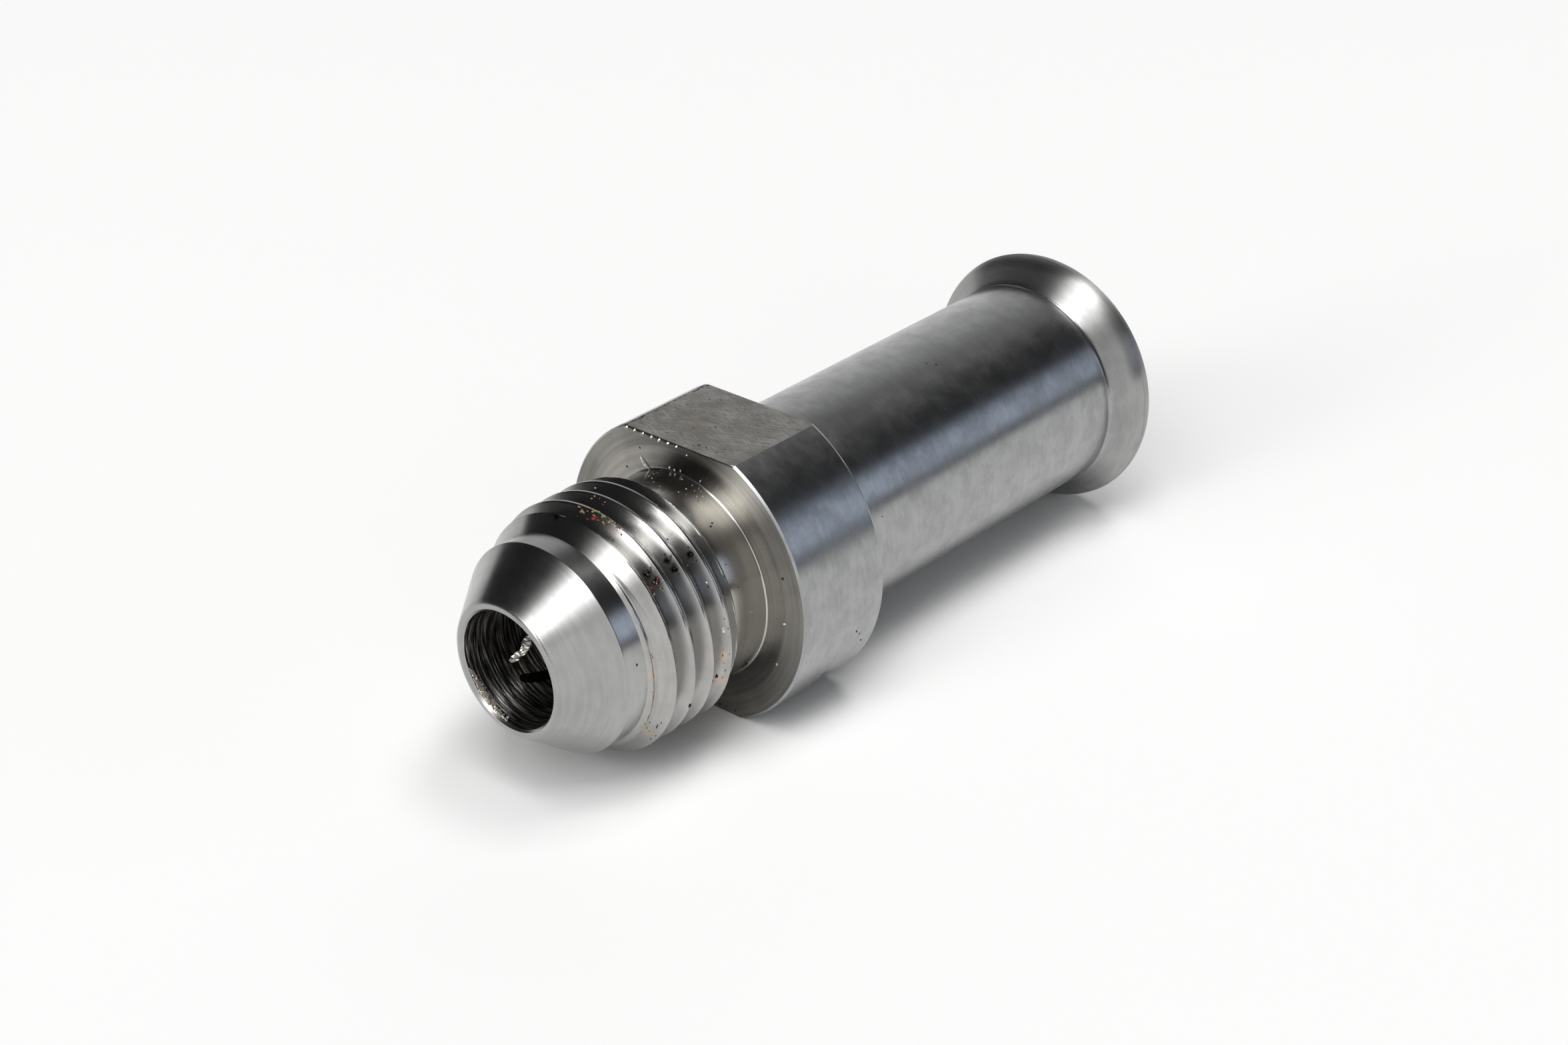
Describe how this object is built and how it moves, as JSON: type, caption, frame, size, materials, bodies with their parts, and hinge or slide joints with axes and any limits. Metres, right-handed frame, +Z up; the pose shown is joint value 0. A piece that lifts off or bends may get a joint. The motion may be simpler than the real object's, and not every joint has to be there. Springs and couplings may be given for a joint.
{
  "type": "fuel line adapter fitting",
  "caption": "Turned steel pipe adapter: flare nose and external thread, round collar with parallel wrench flats, and a beaded hose stem, bored through.",
  "frame": {"origin": "middle of the footprint, on the surface that the fitting lies on", "axes": "+X along the passage from the flare nose to the hose end, +Z up, square to the wrench flats"},
  "size_m": [0.047, 0.0178, 0.0159],
  "materials": {
    "turned_steel": "fine turned stainless steel, brighter on the seat cone and the bead, matt milled flats"
  },
  "bodies": {
    "root": {"adapter_body": "turned_steel"}
  },
  "joints": []
}
